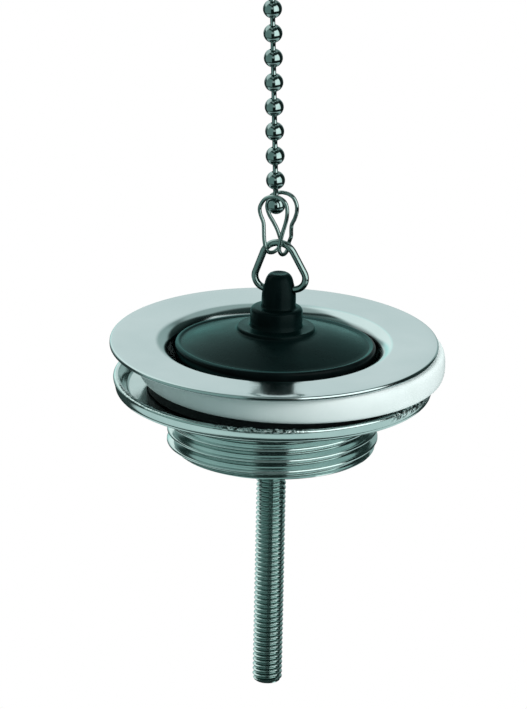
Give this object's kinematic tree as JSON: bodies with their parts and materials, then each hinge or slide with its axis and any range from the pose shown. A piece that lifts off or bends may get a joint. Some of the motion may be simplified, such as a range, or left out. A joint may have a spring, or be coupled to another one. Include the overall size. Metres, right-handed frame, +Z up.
{
  "type": "basin waste",
  "caption": "Basin waste with dished flange, strainer, clamp screw, threaded tail, rubber plug and bead chain.",
  "frame": {"origin": "on the waste's axis, in the plane of the flange's upper face, where the basin's outlet clamps it", "axes": "+Z up out of the basin along the waste's axis, +X towards the side on which the loose sealing washer stands out"},
  "size_m": [0.0668, 0.0654, 0.1737],
  "materials": {
    "polished_chrome": "polished chrome plate",
    "cast_chrome": "chrome plate over a cast and turned surface",
    "bead_chrome": "bright plate",
    "steel_wire": "drawn wire",
    "zinc_steel": "zinc plate on a rolled thread",
    "plug_rubber": "smooth moulded rubber",
    "gasket_rubber": "matt rubber",
    "white_plastic": "satin moulded plastic"
  },
  "bodies": {
    "flange": {"top_flange": "polished_chrome"},
    "screw": {"clamp_screw": "zinc_steel"},
    "tail": {"tail_piece": "cast_chrome", "sealing_washer": "white_plastic", "cup_gasket": "gasket_rubber"},
    "plug": {"plug": "plug_rubber"},
    "plug_ring": {"plug_ring": "steel_wire"},
    "chain_clasp": {"chain_clasp": "steel_wire"},
    "bead_01": {"bead_01": "bead_chrome", "link_01": "bead_chrome"},
    "bead_02": {"bead_02": "bead_chrome", "link_02": "bead_chrome"},
    "bead_03": {"bead_03": "bead_chrome", "link_03": "bead_chrome"},
    "bead_04": {"bead_04": "bead_chrome", "link_04": "bead_chrome"},
    "bead_05": {"bead_05": "bead_chrome", "link_05": "bead_chrome"},
    "bead_06": {"bead_06": "bead_chrome", "link_06": "bead_chrome"},
    "bead_07": {"bead_07": "bead_chrome", "link_07": "bead_chrome"},
    "bead_08": {"bead_08": "bead_chrome", "link_08": "bead_chrome"},
    "bead_09": {"bead_09": "bead_chrome", "link_09": "bead_chrome"},
    "bead_10": {"bead_10": "bead_chrome", "link_10": "bead_chrome"},
    "bead_11": {"bead_11": "bead_chrome"},
    "end_clasp": {"end_clasp": "steel_wire"},
    "end_ring": {"end_ring": "steel_wire"}
  },
  "joints": [
    {"name": "screw_turn", "type": "hinge", "parent": "flange", "child": "screw", "pos_m": [0, 0, -0.0117], "axis": [0, 0, 1], "range_deg": [0, 16220]},
    {"name": "tail_travel", "type": "slide", "parent": "flange", "child": "tail", "axis": [0, 0, -1], "range_m": [0, 0.045]},
    {"name": "plug_lift", "type": "slide", "parent": "flange", "child": "plug", "axis": [0, 0, 1], "range_m": [0, 0.03]},
    {"name": "ring_swing", "type": "hinge", "parent": "plug", "child": "plug_ring", "pos_m": [0.00115, 0.00035, 0.01109], "axis": [0.9525, -0.2924, 0.085], "range_deg": [-85, 85]},
    {"name": "clasp_swing", "type": "hinge", "parent": "plug_ring", "child": "chain_clasp", "pos_m": [0.00031, 0.00035, 0.0205], "axis": [-0.8652, 0.5, -0.0378], "range_deg": [-60, 60]},
    {"name": "bead_01_swing", "type": "hinge", "parent": "chain_clasp", "child": "bead_01", "pos_m": [-0.00022, 0.00045, 0.02879], "axis": [0.4997, 0.866, 0.0183], "range_deg": [-25, 25]},
    {"name": "bead_02_swing", "type": "hinge", "parent": "bead_01", "child": "bead_02", "pos_m": [-0.00035, 0.00045, 0.03227], "axis": [0.8654, -0.5, 0.0317], "range_deg": [-18, 18]},
    {"name": "bead_03_swing", "type": "hinge", "parent": "bead_02", "child": "bead_03", "pos_m": [-0.00054, 0.00045, 0.03739], "axis": [0.4997, 0.866, 0.0183], "range_deg": [-18, 18]},
    {"name": "bead_04_swing", "type": "hinge", "parent": "bead_03", "child": "bead_04", "pos_m": [-0.00073, 0.00045, 0.04252], "axis": [-0.8654, 0.5, -0.0317], "range_deg": [-18, 18]},
    {"name": "bead_05_swing", "type": "hinge", "parent": "bead_04", "child": "bead_05", "pos_m": [-0.00091, 0.00045, 0.04764], "axis": [-0.4997, -0.866, -0.0183], "range_deg": [-18, 18]},
    {"name": "bead_06_swing", "type": "hinge", "parent": "bead_05", "child": "bead_06", "pos_m": [-0.0011, 0.00045, 0.05277], "axis": [0.8654, -0.5, 0.0317], "range_deg": [-18, 18]},
    {"name": "bead_07_swing", "type": "hinge", "parent": "bead_06", "child": "bead_07", "pos_m": [-0.00129, 0.00045, 0.0579], "axis": [0.4997, 0.866, 0.0183], "range_deg": [-18, 18]},
    {"name": "bead_08_swing", "type": "hinge", "parent": "bead_07", "child": "bead_08", "pos_m": [-0.00148, 0.00045, 0.06302], "axis": [-0.8654, 0.5, -0.0317], "range_deg": [-18, 18]},
    {"name": "bead_09_swing", "type": "hinge", "parent": "bead_08", "child": "bead_09", "pos_m": [-0.00167, 0.00045, 0.06815], "axis": [-0.4997, -0.866, -0.0183], "range_deg": [-18, 18]},
    {"name": "bead_10_swing", "type": "hinge", "parent": "bead_09", "child": "bead_10", "pos_m": [-0.00185, 0.00045, 0.07328], "axis": [0.8654, -0.5, 0.0317], "range_deg": [-18, 18]},
    {"name": "bead_11_swing", "type": "hinge", "parent": "bead_10", "child": "bead_11", "pos_m": [-0.00204, 0.00045, 0.0784], "axis": [0.4997, 0.866, 0.0183], "range_deg": [-18, 18]},
    {"name": "end_clasp_swing", "type": "hinge", "parent": "bead_11", "child": "end_clasp", "pos_m": [-0.0021, 0.00045, 0.08005], "axis": [-0.4997, -0.866, -0.0183], "range_deg": [-25, 25]},
    {"name": "end_ring_swing", "type": "hinge", "parent": "end_clasp", "child": "end_ring", "pos_m": [-0.00241, 0.00045, 0.08835], "axis": [0.8654, -0.5, 0.0317], "range_deg": [-60, 60]}
  ],
  "couplings": [
    {"joint": "screw_turn", "follows": "tail_travel", "rad_per_m": 6283.2}
  ]
}
